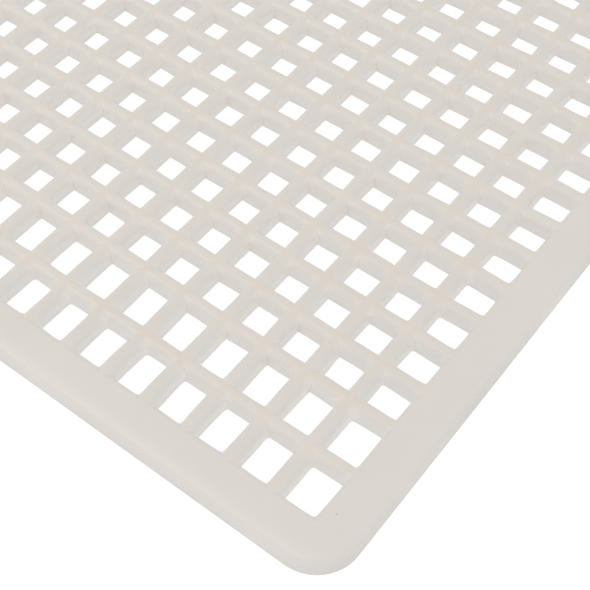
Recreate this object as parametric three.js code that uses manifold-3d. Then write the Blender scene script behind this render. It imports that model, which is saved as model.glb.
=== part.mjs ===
// Queen excluder: a flat plastic grid that lies between two hive boxes. Worker bees pass its
// openings and the queen does not. The sheet is divided into its structural members: four border
// rails, four rounded corners, long bars along X and cross bars along Y.
// Millimetres, +Z up. The origin is at the middle of the underside.

import * as THREE from 'three';
import { mergeVertices } from 'three/addons/utils/BufferGeometryUtils.js';
import Module from 'manifold-3d';

// Driving dimensions
const THICKNESS = 2.625;
const LONG_BAR_WIDTH = 1.9375;
const CROSS_BAR_WIDTH = 2.1875;
const LONG_SIDE_BORDER = 5.75; // along the front and the back
const SHORT_SIDE_BORDER = 5.9375; // along the left and the right
const EDGE_RADIUS = 0.8; // the rounding of the border's outer upper edge

// Openings from left to right: one wider column at each side, equal ones between them
const END_COLUMN = 4.75;
const COLUMN = 4.1875;
const INNER_COLUMNS = 26;

// Openings from front to back: two longer rows at each end, equal ones between them
const END_ROW = 5.8125;
const ROW = 4.3125;
const END_ROWS = 2;
const INNER_ROWS = 22;

// A cross bar keeps this much height where a long bar passes over it
const WEB = 0.375;

const EDGE_STEPS = 4; // facets on the rounded edge
const CORNER_STEPS = 12; // facets on the quarter turn of a corner

const PLASTIC_COLOUR = '#dedad3';
const PLASTIC_ROUGHNESS = 0.42;

const wasm = await Module();
wasm.setup();

// The openings across the sheet and along it, in order
const columns = [END_COLUMN, ...Array(INNER_COLUMNS).fill(COLUMN), END_COLUMN];
const endRows = Array(END_ROWS).fill(END_ROW);
const rows = [...endRows, ...Array(INNER_ROWS).fill(ROW), ...endRows];

// The length of the grid inside the border, in the direction that the openings follow each other
function gridLength(openings, barWidth) {
  const clear = openings.reduce((sum, opening) => sum + opening, 0);
  return clear + (openings.length - 1) * barWidth;
}

// The middle of each bar between the openings, measured from the middle of the sheet
function barCentres(openings, barWidth) {
  let edge = -gridLength(openings, barWidth) / 2;
  return openings.slice(0, -1).map((opening) => {
    const centre = edge + opening + barWidth / 2;
    edge += opening + barWidth;
    return centre;
  });
}

const gridX = gridLength(columns, CROSS_BAR_WIDTH);
const gridY = gridLength(rows, LONG_BAR_WIDTH);

function plastic() {
  return new THREE.MeshStandardMaterial({
    color: PLASTIC_COLOUR,
    roughness: PLASTIC_ROUGHNESS,
    metalness: 0,
  });
}

function member(name, geometry) {
  const mesh = new THREE.Mesh(geometry, plastic());
  mesh.name = name;
  return mesh;
}

// Turns an extrusion so that its outline lies in the YZ plane and its length along X, from -length/2
function alongX(shape, length) {
  const geometry = new THREE.ExtrudeGeometry(shape, { depth: length, bevelEnabled: false, steps: 1 });
  geometry.translate(0, 0, -length / 2);
  const axes = new THREE.Matrix4().makeBasis(
    new THREE.Vector3(0, 1, 0),
    new THREE.Vector3(0, 0, 1),
    new THREE.Vector3(1, 0, 0),
  );
  return geometry.applyMatrix4(axes);
}

// A border's section as points: x runs outwards from its inner edge, y is the height. The outer
// upper edge is an arc.
function borderSection(width) {
  const points = [new THREE.Vector2(0, 0), new THREE.Vector2(width, 0)];
  for (let step = 0; step <= EDGE_STEPS; step += 1) {
    const angle = (step / EDGE_STEPS) * (Math.PI / 2);
    points.push(new THREE.Vector2(
      width - EDGE_RADIUS * (1 - Math.cos(angle)),
      THICKNESS - EDGE_RADIUS * (1 - Math.sin(angle)),
    ));
  }
  points.push(new THREE.Vector2(0, THICKNESS));
  return points;
}

// A border rail, made along X behind its inner edge and turned about Z to its side of the sheet
function borderRail(name, length, width, reach, turn) {
  const rail = member(name, alongX(new THREE.Shape(borderSection(width)), length));
  rail.position.y = reach;
  const side = new THREE.Group();
  side.rotation.z = turn;
  side.add(rail);
  return side;
}

// Solids for cutting need shared vertices and positions only
function toManifold(geometry) {
  geometry.deleteAttribute('normal');
  geometry.deleteAttribute('uv');
  const merged = mergeVertices(geometry, 1e-4);
  return new wasm.Manifold(new wasm.Mesh({
    numProp: 3,
    vertProperties: Float32Array.from(merged.attributes.position.array),
    triVerts: Uint32Array.from(merged.index.array),
  }));
}

function fromManifold(solid) {
  const mesh = solid.getMesh();
  const geometry = new THREE.BufferGeometry();
  geometry.setAttribute('position', new THREE.BufferAttribute(mesh.vertProperties, mesh.numProp));
  geometry.setIndex(new THREE.BufferAttribute(mesh.triVerts, 1));
  return geometry;
}

// A quarter of a disc with the border's section, in the quadrant of +X and +Y. It is stretched
// slightly, to the width of the border at each of its two ends.
function cornerGeometry(widthX, widthY) {
  const disc = new THREE.LatheGeometry(borderSection(widthY), 4 * CORNER_STEPS);
  disc.rotateX(Math.PI / 2);
  const quadrant = new THREE.BoxGeometry(2 * widthY, 2 * widthY, 2 * THICKNESS);
  quadrant.translate(widthY, widthY, THICKNESS / 2);
  const quarter = fromManifold(toManifold(disc).intersect(toManifold(quadrant)));
  return quarter.scale(widthX / widthY, 1, 1);
}

// A long bar: a plain bar along X, above the webs of the cross bars
function longBar(name, y) {
  const height = THICKNESS - WEB;
  const bar = member(name, new THREE.BoxGeometry(gridX, LONG_BAR_WIDTH, height));
  bar.position.set(0, y, WEB + height / 2);
  return bar;
}

// A cross bar along Y, with a notch in its top for each long bar. The outline is drawn with the
// bar's length along x and its height along y.
function crossBarGeometry(longBarCentres) {
  const outline = [new THREE.Vector2(-gridY / 2, 0), new THREE.Vector2(gridY / 2, 0)];
  outline.push(new THREE.Vector2(gridY / 2, THICKNESS));
  for (const y of [...longBarCentres].reverse()) {
    const back = y + LONG_BAR_WIDTH / 2;
    const front = y - LONG_BAR_WIDTH / 2;
    outline.push(new THREE.Vector2(back, THICKNESS));
    outline.push(new THREE.Vector2(back, WEB));
    outline.push(new THREE.Vector2(front, WEB));
    outline.push(new THREE.Vector2(front, THICKNESS));
  }
  outline.push(new THREE.Vector2(-gridY / 2, THICKNESS));
  return alongX(new THREE.Shape(outline), CROSS_BAR_WIDTH);
}

function numbered(name, index) {
  return `${name}_${String(index + 1).padStart(2, '0')}`;
}

const queenExcluder = new THREE.Group();

// The border's four rails
queenExcluder.add(
  borderRail('back_border', gridX, LONG_SIDE_BORDER, gridY / 2, 0),
  borderRail('left_border', gridY, SHORT_SIDE_BORDER, gridX / 2, Math.PI / 2),
  borderRail('front_border', gridX, LONG_SIDE_BORDER, gridY / 2, Math.PI),
  borderRail('right_border', gridY, SHORT_SIDE_BORDER, gridX / 2, -Math.PI / 2),
);

// The four corners, each a quarter turn on from the last, so that their two widths change places
const corners = ['back_right_corner', 'back_left_corner', 'front_left_corner', 'front_right_corner'];
corners.forEach((name, quarter) => {
  const widths = [SHORT_SIDE_BORDER, LONG_SIDE_BORDER];
  if (quarter % 2 === 1) {
    widths.reverse();
  }
  const corner = member(name, cornerGeometry(...widths));
  const angle = quarter * (Math.PI / 2);
  corner.position.set(
    Math.sign(Math.cos(angle + Math.PI / 4)) * (gridX / 2),
    Math.sign(Math.sin(angle + Math.PI / 4)) * (gridY / 2),
    0,
  );
  corner.rotation.z = angle;
  queenExcluder.add(corner);
});

// The grid
const longBarCentres = barCentres(rows, LONG_BAR_WIDTH);
longBarCentres.forEach((y, index) => queenExcluder.add(longBar(numbered('long_bar', index), y)));

barCentres(columns, CROSS_BAR_WIDTH).forEach((x, index) => {
  const bar = member(numbered('cross_bar', index), crossBarGeometry(longBarCentres));
  bar.position.x = x;
  queenExcluder.add(bar);
});

export default queenExcluder;
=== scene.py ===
import math
from bisect import bisect
from collections import namedtuple

import bmesh
import bpy
from mathutils import Euler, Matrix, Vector, noise


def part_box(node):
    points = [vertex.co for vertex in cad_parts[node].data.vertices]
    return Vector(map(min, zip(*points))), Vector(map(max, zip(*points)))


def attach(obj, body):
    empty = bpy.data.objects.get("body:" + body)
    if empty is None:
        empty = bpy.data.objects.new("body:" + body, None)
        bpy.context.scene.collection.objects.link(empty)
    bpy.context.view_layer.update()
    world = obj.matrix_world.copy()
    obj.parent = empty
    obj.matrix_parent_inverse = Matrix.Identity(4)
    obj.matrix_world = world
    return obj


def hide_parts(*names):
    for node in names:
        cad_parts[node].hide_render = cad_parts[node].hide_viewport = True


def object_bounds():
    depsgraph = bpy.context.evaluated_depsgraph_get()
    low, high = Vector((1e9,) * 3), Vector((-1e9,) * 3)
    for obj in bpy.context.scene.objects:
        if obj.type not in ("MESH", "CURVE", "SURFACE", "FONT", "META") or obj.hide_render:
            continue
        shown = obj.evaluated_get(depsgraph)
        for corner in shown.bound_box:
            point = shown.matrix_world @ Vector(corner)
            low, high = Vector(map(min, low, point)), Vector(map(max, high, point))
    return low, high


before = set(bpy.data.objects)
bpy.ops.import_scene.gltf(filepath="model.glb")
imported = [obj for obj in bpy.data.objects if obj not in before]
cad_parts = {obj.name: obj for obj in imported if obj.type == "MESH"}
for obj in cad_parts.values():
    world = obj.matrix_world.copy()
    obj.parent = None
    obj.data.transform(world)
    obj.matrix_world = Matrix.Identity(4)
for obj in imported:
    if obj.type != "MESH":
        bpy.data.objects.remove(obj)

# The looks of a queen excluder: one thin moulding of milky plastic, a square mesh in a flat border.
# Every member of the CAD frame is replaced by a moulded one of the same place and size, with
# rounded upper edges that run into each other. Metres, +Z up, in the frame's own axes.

MM = 0.001
BODY = "root"

# Rounding of the moulding
LONG_RADIUS = 0.80 * MM  # upper edges of the long bars
CROSS_RADIUS = 1.05 * MM  # upper edges of the cross bars, which are almost half round
RIM_RADIUS = 0.80 * MM  # upper edges of the border, inside and outside
FOOT_RADIUS = 0.05 * MM  # lower outer edge of the border
ARC_STEPS = 6  # facets on each quarter round

RIM_SUPPORT = 1.25 * MM  # the border is quite flat this far in from its inner edge
EASE_WIDTH = 1.8 * MM  # before its outer shoulder the border slopes down very slightly over this
EASE_DROP = 0.08 * MM
SHARP_ANGLE = math.radians(35)
SAME_HEIGHT = 1e-4 * MM  # heights closer than this count as equal
SAME_PLACE = 1e-6 * MM  # and so do places

# Unevenness of a thin moulding
WOBBLE = 0.15 * MM
WOBBLE_LENGTH = 5.0 * MM
WOBBLE_FADE = 3.0 * MM  # it grows from nothing at the outer edge over this distance
WOBBLE_SEED = 5

# The openings' corners are a little rounded in plan, most in the rows next to the border
CORNER_EASE = 0.12 * MM  # how far into the opening a corner reaches
CORNER_EASE_REACH = 0.6 * MM
EASE_FULL = 6.0 * MM  # from the mesh's edge, up to here
EASE_END = 14.0 * MM
LEAST_EASE = 0.25  # a share of it, from there inwards

# Places in a clear stretch, as a share of it, with their nearness to a junction
CLEAR_PLACES = ((0.0, 1.0), (0.08, 0.7), (0.25, 0.3), (0.5, 0.0), (0.75, 0.3), (0.92, 0.7))
BAR_WARMTH = 0.45  # of the tint at a crossing, on a bar between two crossings
RAIL_WARMTH = 0.4  # of the same tint, on the border's inner edge where a bar joins it
BRIGHT_CORNER = 1.0  # painted light in an opening's corner, at the lit end of a wall
DIM_CORNER = 0.6  # the same at a wall's other end

# Plastic. Besides its own colours, the tints are painted light, for the light that comes through
# it, and painted shade.
PLASTIC_IOR = 1.5
BORDER_COLOUR = (0.765, 0.715, 0.665)
CROSSING_COLOUR = (0.772, 0.704, 0.625)
PAINTED_CROSS_BAR_SHADE = (0.745, 0.695, 0.635)  # painted shade: a cross bar's top between two crossings, darker than at the crossings
PAINTED_WALL_LIGHT = (0.733, 0.727, 0.712)  # painted light, for the light from behind in the walls between the openings
PAINTED_SHOULDER_LIGHT = (0.83, 0.792, 0.75)  # painted light, for the light through the rounded upper edge of such a wall
SHOULDER_DEPTH = 0.6 * MM  # below the top, where that light is greatest
SHOULDER_SHARE_AT_BORDER = 0.6  # less of this painted light near the border, up to
INLAND = 20.0 * MM  # this distance from it
PAINTED_CORNER_LIGHT = (0.94, 0.90, 0.865)  # painted light, where two walls of an opening meet
CORNER_START = 0.05 * MM  # below the top
CORNER_FULL = 0.7 * MM
PAINTED_EDGE_LIGHT = (0.81, 0.76, 0.70)  # painted light, for the light through the outer wall, along the border's outer edge
EDGE_SHARE_AT_SIDES = 0.2  # this light is less along the left and right
EDGE_FADE = 1.5  # power of its fading inwards
PAINTED_SIDE_SHADE = (0.617, 0.593, 0.568)  # painted shade on the outer wall round the sheet
SIDE_SHARE_AT_ENDS = 0.63  # the front and back get less of this painted shade
SIDE_ROUGHNESS = 0.8
PAINTED_FOOT_SHADE = (0.5, 0.49, 0.47)  # painted shade, darker low on every wall
FOOT_SHARE = 0.25
FOOT_HEIGHT = 0.9 * MM

# Mottling, specks and satin. Scales are in cells per metre. Between its two limits a noise or a
# distance turns from nothing to its full share.
CLOUD_COLOUR = (0.79, 0.74, 0.69)
CLOUD_SCALE = 90.0
CLOUD_LIMITS = (0.35, 0.65)
CLOUD_SHARE = 0.5
SPECK_COLOUR = (0.34, 0.26, 0.19)
SPECK_SCALE = 260.0
SPECK_LIMITS = (0.045, 0.02)  # from a speck's edge to its middle, as a share of a cell
SPECK_SHARE = 0.35
PATCH_SCALE = 42.0  # specks are only in a few patches
PATCH_LIMITS = (0.64, 0.68)
SATIN_ROUGHNESS = (0.34, 0.5)  # smoothest and roughest
GRAIN_SCALE = 900.0
GRAIN_STRENGTH = 0.12
GRAIN_DEPTH = 0.05 * MM

# Studio
FLOOR_SIZE = 60.0
FLOOR_GAP = 0.02 * MM
FLOOR_COLOUR = (0.1, 0.1, 0.1)
FLOOR_ROUGHNESS = 0.9
FLOOR_GLOW = 0.94
ROOM_COLOUR = (0.97, 0.985, 1.0)
ROOM_STRENGTH = 0.76
HORIZON_STRENGTH = 1.05  # as white as the floor, where the room meets it
HORIZON_TOP = math.radians(6)  # above this the horizon's light fades to the room's
HORIZON_END = math.radians(14)
# name, place, size, power in watts, colour
SOFT_BOXES = (
    ("front left", (-0.31, -0.26, 0.60), 0.22, 0.74, (1.0, 0.95, 0.89)),
    ("right", (1.98, -0.15, 2.25), 2.4, 9.18, (1.0, 0.97, 0.93)),
)

# Camera: where it stands and what it looks at, from the front right corner of the sheet
CAMERA_FROM_CORNER = Vector((29.41, -43.3, 124.9)) * MM
TARGET_FROM_CORNER = Vector((-27.19, 29.75, 0.0)) * MM
CAMERA_ROLL = math.radians(-0.29)
CAMERA_LENS = 74.8
SENSOR_WIDTH = 36.0
CLIP_START = 1 * MM
CLIP_END = 100.0

cad_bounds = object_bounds()
low, high = cad_bounds
TOP = high.z
noise.seed_set(WOBBLE_SEED)


# ---------------------------------------------------------------- measures from the frame

def numbered_nodes(start):
    """The frame's nodes whose names begin so, in the order of their numbers."""
    return sorted(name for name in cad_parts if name.startswith(start))


def span(node, axis):
    """The lowest and highest place of a node along an axis."""
    lowest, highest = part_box(node)
    return lowest[axis], highest[axis]


LONG_BARS = numbered_nodes("long_bar_")
CROSS_BARS = numbered_nodes("cross_bar_")
LONG_SPANS = [span(node, 1) for node in LONG_BARS]
CROSS_SPANS = [span(node, 0) for node in CROSS_BARS]
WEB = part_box(LONG_BARS[0])[0].z
GRID_X = span(LONG_BARS[0], 0)[1]
GRID_Y = span(CROSS_BARS[0], 1)[1]
SIDE_BORDER = high.x - GRID_X  # width on the left and right
END_BORDER = high.y - GRID_Y  # width at the front and back


def opening_edges(spans, end):
    """The places of the openings' walls along an axis, each with the way to its opening."""
    edges = [(-end, 1), (end, -1)]
    for lowest, highest in spans:
        edges.extend([(lowest, -1), (highest, 1)])
    return sorted(edges)


X_EDGES = opening_edges(CROSS_SPANS, GRID_X)
Y_EDGES = opening_edges(LONG_SPANS, GRID_Y)


def rounded_height(depth, radius):
    """The height at a distance inside a wall whose upper edge is rounded."""
    if depth >= radius:
        return TOP
    return TOP - radius + math.sqrt(max(radius**2 - (radius - depth) ** 2, 0.0))


def arc_depths(radius):
    """Distances inside a wall at which its rounded edge has a facet line, from the wall inwards.
    The lines lie at the same heights on every rounded edge, so they meet where two edges cross."""
    finest = min(LONG_RADIUS, CROSS_RADIUS, RIM_RADIUS)
    angles = [step / ARC_STEPS * math.pi / 2 for step in range(ARC_STEPS + 1)]
    drops = [finest * (1 - math.sin(angle)) for angle in angles]
    if radius > finest:
        drops.insert(0, radius)
    return [radius - math.sqrt(radius**2 - (radius - drop) ** 2) for drop in drops]


def places_across(edges, radius):
    """Facet lines across a bar between two edges, from its low side to its high side."""
    start, end = edges
    inwards = arc_depths(radius)
    return [start + depth for depth in inwards] + [end - depth for depth in reversed(inwards)]


def height_over(place, edges, radius):
    """The height of a bar's top at a place across it, or 0 beside the bar."""
    depth = min(place - edges[0], edges[1] - place)
    if depth < -SAME_PLACE:
        return 0.0
    return rounded_height(max(depth, 0.0), radius)


# ---------------------------------------------------------------- unevenness and shades by place

def clamp(value, least=0.0, most=1.0):
    return min(max(value, least), most)


def nearest_edge(edges, place):
    """The wall of an opening that is nearest to a place along an axis."""
    index = bisect(edges, (place, 0))
    return min(edges[max(index - 1, 0):index + 1], key=lambda edge: abs(edge[0] - place))


def corner_ease(point):
    """How far a point moves into an opening, because it is near a corner of that opening."""
    edge_x, way_x = nearest_edge(X_EDGES, point.x)
    edge_y, way_y = nearest_edge(Y_EDGES, point.y)
    reach = math.hypot(point.x - edge_x, point.y - edge_y)
    inset = min(GRID_X - abs(edge_x), GRID_Y - abs(edge_y))
    share = clamp((EASE_END - inset) / (EASE_END - EASE_FULL), LEAST_EASE)
    ease = CORNER_EASE * share * clamp(1 - reach / CORNER_EASE_REACH) ** 2
    return way_x * ease, way_y * ease


def settled(point):
    """The moulding's slight unevenness and its openings' rounded corners. Both are the same for
    every member at the same place, and the outer edge of the sheet stays where it is."""
    seed = Vector((point.x, point.y, point.z / 2)) / WOBBLE_LENGTH
    shift = noise.noise_vector(seed) * WOBBLE
    inset = min(high.x - abs(point.x), high.y - abs(point.y))
    fade = clamp(inset / WOBBLE_FADE)
    ease_x, ease_y = corner_ease(point)
    return Vector((point.x + shift.x * fade + ease_x, point.y + shift.y * fade + ease_y, point.z))


def depth_share(point):
    """0 on top, and 1 from the foot of the rounded edges downwards."""
    return clamp((TOP - point.z) / CROSS_RADIUS)


def across_border(point):
    """A place across the border: 0 at the grid and 1 at the outer edge, and its part towards the
    front or back."""
    sideways = max(abs(point.x) - GRID_X, 0.0) / SIDE_BORDER
    endways = max(abs(point.y) - GRID_Y, 0.0) / END_BORDER
    return math.hypot(sideways, endways), endways


def grid_share(point):
    """1 in the mesh, fading out over the border's inner edge."""
    across, _ = across_border(point)
    return clamp(1 - across * END_BORDER / RIM_RADIUS)


def wall_share(point):
    """How far a point is down a wall between openings, for the painted light there that stands
    for the milky plastic being lit from behind.
    """
    return grid_share(point) * depth_share(point)


def shoulder_share(point):
    """The painted light for the light that comes through a wall's rounded upper edge. It fades out
    down the wall.
    """
    rise = clamp((TOP - point.z) / SHOULDER_DEPTH)
    fall = clamp(point.z / (TOP - SHOULDER_DEPTH))
    inland = clamp(min(GRID_X - abs(point.x), GRID_Y - abs(point.y)) / INLAND)
    most = SHOULDER_SHARE_AT_BORDER + (1 - SHOULDER_SHARE_AT_BORDER) * inland
    return most * grid_share(point) * rise * rise * (3 - 2 * rise) * fall


def side_share(point):
    """How far a point is down the outer wall round the sheet, for the painted shade there."""
    across, endways = across_border(point)
    if across == 0.0:
        return 0.0
    facing = 1 - (1 - SIDE_SHARE_AT_ENDS) * (endways / across) ** 2
    return clamp(across * END_BORDER / RIM_RADIUS) * depth_share(point) * facing


def corner_share(point):
    """How far a point is down a wall of an opening, for the painted light in the opening's corners.
    """
    down = (TOP - point.z - CORNER_START) / (CORNER_FULL - CORNER_START)
    return clamp(down) * grid_share(point)


def edge_share(point):
    """The painted light for the light that comes through the outer wall. It is greatest where the
    border's outer shoulder begins, and fades inwards over the top."""
    across, endways = across_border(point)
    if across == 0.0:
        return 0.0
    inwards = (1 - across) * END_BORDER - RIM_RADIUS
    if inwards < 0.0:
        share = clamp(1 + 2 * inwards / RIM_RADIUS)
    else:
        share = clamp(1 - inwards / EASE_WIDTH) ** EDGE_FADE
    facing = EDGE_SHARE_AT_SIDES + (1 - EDGE_SHARE_AT_SIDES) * (endways / across) ** 2
    return share * facing * (1 - depth_share(point))


# ---------------------------------------------------------------- one member

class Skin:
    """The vertices and faces of one closed member. Each vertex has a warmth, a nearness to the
    clear middle of a cross bar, where its top has painted shade, and the painted light that it
    gets in an opening's corner."""

    def __init__(self):
        self.vertices = []
        self.warmth = []
        self.clear = []
        self.corner = []
        self.faces = []

    def add(self, points, warmth=0.0, clear=0.0, corner=0.0):
        first = len(self.vertices)
        self.vertices.extend(Vector(point) for point in points)
        self.warmth.extend([warmth] * len(points))
        self.clear.extend([clear] * len(points))
        self.corner.extend([corner] * len(points))
        return list(range(first, len(self.vertices)))

    def strip(self, row, other):
        """Joins two rows of vertices with quads."""
        for i in range(len(row) - 1):
            self.faces.append((row[i], row[i + 1], other[i + 1], other[i]))

    def top_strip(self, row, other):
        """Joins two rows of vertices over the top. Where two rounded edges cross, a quad has one
        corner lower than the rest, and is split from there."""
        for i in range(len(row) - 1):
            quad = [row[i], row[i + 1], other[i + 1], other[i]]
            heights = [self.vertices[index].z for index in quad]
            lowest, *rest = sorted(heights)
            start = heights.index(lowest)
            a, b, c, d = quad[start:] + quad[:start]
            if rest[-1] - rest[0] < SAME_HEIGHT < rest[0] - lowest:
                self.faces.extend([(a, b, c), (a, c, d)])
            else:
                self.faces.append((a, b, c, d))


def mark_sharp_edges(solid):
    """Shades every edge of a bmesh smooth, except the sharp ones."""
    for edge in solid.edges:
        if len(edge.link_faces) == 2:
            edge.smooth = edge.calc_face_angle(0.0) < SHARP_ANGLE


def moulded(node, skin, material):
    """Makes one visible member from its skin, in place of its CAD node."""
    mesh = bpy.data.meshes.new(node + "_moulded")
    mesh.from_pydata([settled(point) for point in skin.vertices], [], skin.faces)
    # Shares of the plastic's tints at each vertex: the warmth of the thick crossings, painted shade
    # and painted light.
    shades = {
        "warmth": skin.warmth,
        "clear": skin.clear,
        "wall": [wall_share(point) for point in skin.vertices],
        "shoulder": [shoulder_share(point) for point in skin.vertices],
        "corner": [light * corner_share(point) for light, point in zip(skin.corner, skin.vertices)],
        "side": [side_share(point) for point in skin.vertices],
        "edge": [edge_share(point) for point in skin.vertices],
    }
    for name, values in shades.items():
        mesh.attributes.new(name, "FLOAT", "POINT").data.foreach_set("value", values)
    solid = bmesh.new()
    solid.from_mesh(mesh)
    loose = [vertex for vertex in solid.verts if not vertex.link_faces]
    bmesh.ops.delete(solid, geom=loose, context="VERTS")
    bmesh.ops.recalc_face_normals(solid, faces=solid.faces)
    mark_sharp_edges(solid)
    for face in solid.faces:
        face.smooth = True
    solid.to_mesh(mesh)
    solid.free()
    piece = bpy.data.objects.new(mesh.name, mesh)
    bpy.context.scene.collection.objects.link(piece)
    weighted = piece.modifiers.new("flat faces first", "WEIGHTED_NORMAL")
    weighted.keep_sharp = True
    mesh.materials.append(material)
    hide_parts(node)
    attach(piece, BODY)


# ---------------------------------------------------------------- bars

# A place along a member. web and body say whether the stretch from here to the next place has its
# thin lower web and the body above it. junction is the nearness to a junction, and corner is the
# painted light that a corner of an opening gets there. crossing is the bar that is crossed here,
# as (edges, radius).
Station = namedtuple("Station", "place web body junction corner crossing")


def stations_along(end, crossings, radius, in_crossing, facets, corners):
    """The places along a member from -end to end: in each clear stretch its start and a few places
    on, and in each crossing its walls and, with facets, the crossed bar's facet lines. in_crossing
    is (web, body) there, and corners is the painted light at the two ends of a clear stretch."""
    light_at_start, light_at_stop = corners
    stations = []
    start = -end
    for edges in [*crossings, None]:
        stop = edges[0] if edges else end
        for share, junction in CLEAR_PLACES:
            place = start + share * (stop - start)
            light = light_at_start if share < 0.5 else light_at_stop
            stations.append(Station(place, True, True, junction, light * junction**2, None))
        if edges is None:
            break
        lines = places_across(edges, radius) if facets else [edges[0], edges[1]]
        for place in lines[:-1]:
            crossed = (edges, radius) if facets else None
            stations.append(Station(place, *in_crossing, 1.0, light_at_stop, crossed))
        start = edges[1]
    stations.append(Station(end, False, False, 1.0, light_at_stop, None))
    return stations


def top_height(line, own, station):
    """A bar's top where it may be crossed: the higher of its own round and the crossed bar's."""
    height = height_over(line, *own)
    if station.crossing:
        height = max(height, height_over(station.place, *station.crossing))
    return height


def bar_skin(edges, radius, stations, clear_share, place_at):
    """A bar as a row of sections along its stations. clear_share is how much of the cross bars'
    painted shade its top gets between crossings. place_at turns a place along the bar, one across
    it and a height into a point."""
    skin = Skin()
    lines = places_across(edges, radius)
    rows = []
    for station in stations:
        tops = [top_height(line, (edges, radius), station) for line in lines]
        levels = [
            [place_at(station.place, edge, 0.0) for edge in edges],
            [place_at(station.place, edge, WEB) for edge in edges],
            [place_at(station.place, line, top) for line, top in zip(lines, tops)],
        ]
        warmth = BAR_WARMTH + (1 - BAR_WARMTH) * station.junction
        clear = clear_share * (1 - station.junction)
        rows.append([skin.add(points, warmth, clear, station.corner) for points in levels])
    web_before = body_before = False
    for i, (foot, web, top) in enumerate(rows):
        here = stations[i]
        if here.web != web_before:
            skin.faces.append((foot[0], foot[1], web[1], web[0]))
        if here.body != body_before:
            skin.faces.append((web[0], web[1], *reversed(top)))
        web_before = here.web
        body_before = here.body
        if i + 1 == len(rows):
            break
        next_foot, next_web, next_top = rows[i + 1]
        if here.web:
            skin.strip(foot, next_foot)
            skin.strip((foot[0], web[0]), (next_foot[0], next_web[0]))
            skin.strip((foot[1], web[1]), (next_foot[1], next_web[1]))
        if here.body:
            skin.top_strip(top, next_top)
            skin.strip((web[0], top[0]), (next_web[0], next_top[0]))
            skin.strip((web[1], top[-1]), (next_web[1], next_top[-1]))
        if here.web != here.body:
            skin.strip(web, next_web)
    return skin


def make_bars(material):
    long_stations = stations_along(
        GRID_X, CROSS_SPANS, CROSS_RADIUS, in_crossing=(False, True), facets=True,
        corners=(BRIGHT_CORNER, DIM_CORNER),
    )
    for node, edges in zip(LONG_BARS, LONG_SPANS):
        skin = bar_skin(edges, LONG_RADIUS, long_stations, 0.0, lambda x, y, z: (x, y, z))
        moulded(node, skin, material)
    cross_stations = stations_along(
        GRID_Y, LONG_SPANS, LONG_RADIUS, in_crossing=(True, False), facets=False,
        corners=(DIM_CORNER, BRIGHT_CORNER),
    )
    for node, edges in zip(CROSS_BARS, CROSS_SPANS):
        skin = bar_skin(edges, CROSS_RADIUS, cross_stations, 1.0, lambda y, x, z: (x, y, z))
        moulded(node, skin, material)


# ---------------------------------------------------------------- border

def outer_section(border):
    """The border's outer part as (distance from the grid, height), from the flat down to the foot."""
    start = border - RIM_RADIUS - EASE_WIDTH
    shares = (0, 0.25, 0.5, 0.75)
    ease = [(start + share * EASE_WIDTH, TOP - share**2 * EASE_DROP) for share in shares]
    quarter = [step / ARC_STEPS * math.pi / 2 for step in range(ARC_STEPS + 1)]
    drop = RIM_RADIUS + EASE_DROP
    shoulder = [
        (border - RIM_RADIUS * (1 - math.sin(angle)), TOP - drop + RIM_RADIUS * math.cos(angle))
        for angle in quarter
    ]
    foot = [
        (border - FOOT_RADIUS * (1 - math.cos(angle)), FOOT_RADIUS * (1 - math.sin(angle)))
        for angle in quarter
    ]
    return [(RIM_SUPPORT, TOP), *ease, *shoulder, *foot]


def rail_skin(border, stations, place_at):
    """A border rail between two corners. Its inner edge is rounded, and rises to meet each bar."""
    skin = Skin()
    outer = outer_section(border)
    rings = []
    for station in stations:
        inner = []
        for depth in arc_depths(RIM_RADIUS):
            height = rounded_height(depth, RIM_RADIUS)
            if station.crossing:
                height = max(height, height_over(station.place, *station.crossing))
            inner.append((depth, height))
        edge = [place_at(station.place, out, height) for out, height in [(0.0, 0.0), *inner]]
        rest = [place_at(station.place, out, height) for out, height in outer]
        warmth = RAIL_WARMTH * (1 + station.junction) / 2
        rings.append(skin.add(edge, warmth, 0.0, station.corner) + skin.add(rest))
    for ring, following in zip(rings, rings[1:]):
        skin.top_strip([*ring, ring[0]], [*following, following[0]])
    skin.faces.append(tuple(rings[0]))
    skin.faces.append(tuple(rings[-1]))
    return skin


def corner_skin(place_at):
    """A quarter disc. At its inner corner the two rails' rounded edges meet, and rings run out
    from there to the round outer edge."""
    skin = Skin()
    depths = arc_depths(RIM_RADIUS)
    last = len(depths) - 1
    grid = []
    for across in depths:
        heights = [rounded_height(max(across, depth), RIM_RADIUS) for depth in depths]
        points = [place_at(across, depth, height) for depth, height in zip(depths, heights)]
        grid.append(skin.add(points))
    for row, following in zip(grid, grid[1:]):
        skin.top_strip(row, following)
    inner_ring = list(grid[last]) + [grid[i][last] for i in reversed(range(last))]
    rings = [inner_ring]
    angles = [step / (2 * last) * math.pi / 2 for step in range(2 * last + 1)]
    for (reach_x, height), (reach_y, _) in zip(outer_section(SIDE_BORDER), outer_section(END_BORDER)):
        rings.append(skin.add([
            place_at(reach_x * math.cos(angle), reach_y * math.sin(angle), height)
            for angle in angles
        ]))
    for ring, following in zip(rings, rings[1:]):
        skin.strip(ring, following)
    (foot,) = skin.add([place_at(0.0, 0.0, 0.0)])
    skin.faces.append((foot, *rings[-1]))
    first_side = [row[0] for row in grid] + [ring[0] for ring in rings[1:]]
    second_side = list(grid[0]) + [ring[-1] for ring in rings[1:]]
    skin.faces.append((foot, *first_side))
    skin.faces.append((foot, *second_side))
    return skin


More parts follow.
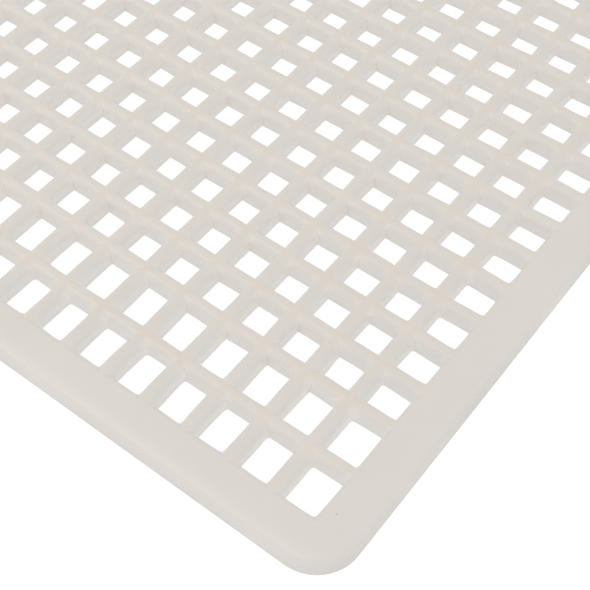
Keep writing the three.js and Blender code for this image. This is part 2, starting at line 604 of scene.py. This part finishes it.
def make_border(material):
    across = stations_along(
        GRID_X, CROSS_SPANS, CROSS_RADIUS, in_crossing=(True, True), facets=True,
        corners=(BRIGHT_CORNER, DIM_CORNER),
    )
    upwards = stations_along(
        GRID_Y, LONG_SPANS, LONG_RADIUS, in_crossing=(True, True), facets=True,
        corners=(DIM_CORNER, BRIGHT_CORNER),
    )
    sides = {"front": (0, -1), "back": (0, 1), "left": (-1, 0), "right": (1, 0)}
    for side, (sign_x, sign_y) in sides.items():
        if sign_y:
            skin = rail_skin(END_BORDER, across, lambda x, out, z: (x, sign_y * (GRID_Y + out), z))
        else:
            skin = rail_skin(SIDE_BORDER, upwards, lambda y, out, z: (sign_x * (GRID_X + out), y, z))
        moulded(side + "_border", skin, material)
    for end in ("front", "back"):
        for side in ("left", "right"):
            sign_x = sides[side][0]
            sign_y = sides[end][1]
            skin = corner_skin(
                lambda a, b, z: (sign_x * (GRID_X + a), sign_y * (GRID_Y + b), z)
            )
            moulded(f"{end}_{side}_corner", skin, material)


# ---------------------------------------------------------------- material

def shader_node(tree, kind, **values):
    """Adds a shader node. Names with a capital are input sockets, the others are properties."""
    made = tree.nodes.new(kind)
    for name, value in values.items():
        if name[0].isupper():
            made.inputs[name.replace("_", " ")].default_value = value
        else:
            setattr(made, name, value)
    return made


def link(tree, source, output, target, socket):
    tree.links.new(source.outputs[output], target.inputs[socket])


def limits_to_share(tree, limits, most):
    """A node that turns a value between two limits into a share from 0 to most."""
    start, full = limits
    return shader_node(tree, "ShaderNodeMapRange", From_Min=start, From_Max=full, To_Max=most)


def blend_colours(tree, factor, first, second):
    """Mixes two colours by an output. Each is a plain colour or the output of another node."""
    mix = tree.nodes.new("ShaderNodeMix")
    mix.data_type = "RGBA"
    for socket, value in (("A", first), ("B", second)):
        found = [s for s in mix.inputs if s.name == socket and s.type == "RGBA"][0]
        if isinstance(value, tuple):
            found.default_value = (*value, 1.0)
        else:
            tree.links.new(value, found)
    tree.links.new(factor, mix.inputs["Factor"])
    return [s for s in mix.outputs if s.type == "RGBA"][0]


def milky_plastic():
    """Milky natural plastic: warm where the moulding is thick, faintly mottled, with a few dark
    specks and a very fine satin texture. Painted light and painted shade are in its colour."""
    material = bpy.data.materials.new("milky moulded plastic")
    material.use_nodes = True
    tree = material.node_tree
    shader = tree.nodes["Principled BSDF"]
    shader.inputs["IOR"].default_value = PLASTIC_IOR
    place = shader_node(tree, "ShaderNodeTexCoord")

    # From the border's own colour: the warmer thick crossings, painted shade on the cross bars
    # between crossings and on the outer wall, and painted light in the walls, on their shoulders, in
    # the openings' corners and along the border's outer edge.
    colour = BORDER_COLOUR
    shades = (
        ("warmth", CROSSING_COLOUR),
        ("clear", PAINTED_CROSS_BAR_SHADE),
        ("wall", PAINTED_WALL_LIGHT),
        ("shoulder", PAINTED_SHOULDER_LIGHT),
        ("corner", PAINTED_CORNER_LIGHT),
        ("side", PAINTED_SIDE_SHADE),
        ("edge", PAINTED_EDGE_LIGHT),
    )
    for name, towards in shades:
        shade = shader_node(tree, "ShaderNodeAttribute", attribute_name=name)
        colour = blend_colours(tree, shade.outputs["Fac"], colour, towards)

    axes = shader_node(tree, "ShaderNodeSeparateXYZ")
    link(tree, place, "Object", axes, "Vector")
    # Painted shade, darker towards the foot of every wall.
    painted_foot_shade = limits_to_share(tree, (FOOT_HEIGHT, 0.0), FOOT_SHARE)
    link(tree, axes, "Z", painted_foot_shade, "Value")
    colour = blend_colours(tree, painted_foot_shade.outputs["Result"], colour, PAINTED_FOOT_SHADE)

    clouds = shader_node(tree, "ShaderNodeTexNoise", Scale=CLOUD_SCALE, Detail=4.0, Roughness=0.6)
    link(tree, place, "Object", clouds, "Vector")
    cloudy = limits_to_share(tree, CLOUD_LIMITS, CLOUD_SHARE)
    link(tree, clouds, "Fac", cloudy, "Value")
    colour = blend_colours(tree, cloudy.outputs["Result"], colour, CLOUD_COLOUR)

    cells = shader_node(tree, "ShaderNodeTexVoronoi", Scale=SPECK_SCALE)
    link(tree, place, "Object", cells, "Vector")
    dot = limits_to_share(tree, SPECK_LIMITS, 1.0)
    link(tree, cells, "Distance", dot, "Value")
    patches = shader_node(tree, "ShaderNodeTexNoise", Scale=PATCH_SCALE, Detail=1.0)
    link(tree, place, "Object", patches, "Vector")
    chosen = limits_to_share(tree, PATCH_LIMITS, SPECK_SHARE)
    link(tree, patches, "Fac", chosen, "Value")
    speck = shader_node(tree, "ShaderNodeMath", operation="MULTIPLY")
    link(tree, dot, "Result", speck, 0)
    link(tree, chosen, "Result", speck, 1)
    colour = blend_colours(tree, speck.outputs["Value"], colour, SPECK_COLOUR)
    tree.links.new(colour, shader.inputs["Base Color"])

    smoothest, roughest = SATIN_ROUGHNESS
    satin = shader_node(tree, "ShaderNodeMapRange", To_Min=smoothest, To_Max=roughest)
    link(tree, clouds, "Fac", satin, "Value")
    side = shader_node(tree, "ShaderNodeAttribute", attribute_name="side")
    duller = shader_node(tree, "ShaderNodeMix", data_type="FLOAT")
    duller.inputs["B"].default_value = SIDE_ROUGHNESS
    link(tree, side, "Fac", duller, "Factor")
    link(tree, satin, "Result", duller, "A")
    link(tree, duller, "Result", shader, "Roughness")

    grain = shader_node(tree, "ShaderNodeTexNoise", Scale=GRAIN_SCALE, Detail=3.0)
    link(tree, place, "Object", grain, "Vector")
    bump = shader_node(tree, "ShaderNodeBump", Strength=GRAIN_STRENGTH, Distance=GRAIN_DEPTH)
    link(tree, grain, "Fac", bump, "Height")
    link(tree, bump, "Normal", shader, "Normal")
    return material


# ---------------------------------------------------------------- studio

def make_camera():
    corner = Vector((high.x, low.y, 0.0))
    place = corner + CAMERA_FROM_CORNER
    aim = corner + TARGET_FROM_CORNER - place
    lens = bpy.data.cameras.new("camera")
    lens.lens = CAMERA_LENS
    lens.sensor_width = SENSOR_WIDTH
    lens.clip_start = CLIP_START
    lens.clip_end = CLIP_END
    camera = bpy.data.objects.new("camera", lens)
    camera.location = place
    turn = aim.to_track_quat("-Z", "Y").to_matrix() @ Euler((0, 0, CAMERA_ROLL)).to_matrix()
    camera.rotation_euler = turn.to_euler()
    bpy.context.scene.collection.objects.link(camera)
    bpy.context.scene.camera = camera


def make_floor():
    mesh = bpy.data.meshes.new("floor")
    reach = FLOOR_SIZE / 2
    corners = [(-reach, -reach), (reach, -reach), (reach, reach), (-reach, reach)]
    mesh.from_pydata([(x, y, -FLOOR_GAP) for x, y in corners], [], [(0, 1, 2, 3)])
    floor = bpy.data.objects.new("floor", mesh)
    bpy.context.scene.collection.objects.link(floor)
    white = bpy.data.materials.new("white floor")
    white.use_nodes = True
    shader = white.node_tree.nodes["Principled BSDF"]
    shader.inputs["Base Color"].default_value = (*FLOOR_COLOUR, 1.0)
    shader.inputs["Roughness"].default_value = FLOOR_ROUGHNESS
    shader.inputs["Emission Color"].default_value = (1.0, 1.0, 1.0, 1.0)
    shader.inputs["Emission Strength"].default_value = FLOOR_GLOW
    mesh.materials.append(white)


def make_lights():
    world = bpy.data.worlds.new("pale room")
    world.use_nodes = True
    tree = world.node_tree
    background = tree.nodes["Background"]
    background.inputs["Color"].default_value = (*ROOM_COLOUR, 1.0)
    direction = shader_node(tree, "ShaderNodeTexCoord")
    axes = shader_node(tree, "ShaderNodeSeparateXYZ")
    link(tree, direction, "Generated", axes, "Vector")
    strength = shader_node(
        tree,
        "ShaderNodeMapRange",
        interpolation_type="SMOOTHSTEP",
        From_Min=math.sin(HORIZON_TOP),
        From_Max=math.sin(HORIZON_END),
        To_Min=HORIZON_STRENGTH,
        To_Max=ROOM_STRENGTH,
    )
    link(tree, axes, "Z", strength, "Value")
    link(tree, strength, "Result", background, "Strength")
    bpy.context.scene.world = world
    middle = Vector((0.0, 0.0, 0.0))
    for name, place, size, power, colour in SOFT_BOXES:
        light = bpy.data.lights.new(name, "AREA")
        light.shape = "SQUARE"
        light.size = size
        light.energy = power
        light.color = colour
        lamp = bpy.data.objects.new(name, light)
        lamp.location = place
        lamp.rotation_euler = (middle - Vector(place)).to_track_quat("-Z", "Y").to_euler()
        bpy.context.scene.collection.objects.link(lamp)


make_camera()
plastic = milky_plastic()
make_border(plastic)
make_bars(plastic)
make_floor()
make_lights()

bpy.context.scene.view_settings.view_transform = "Standard"
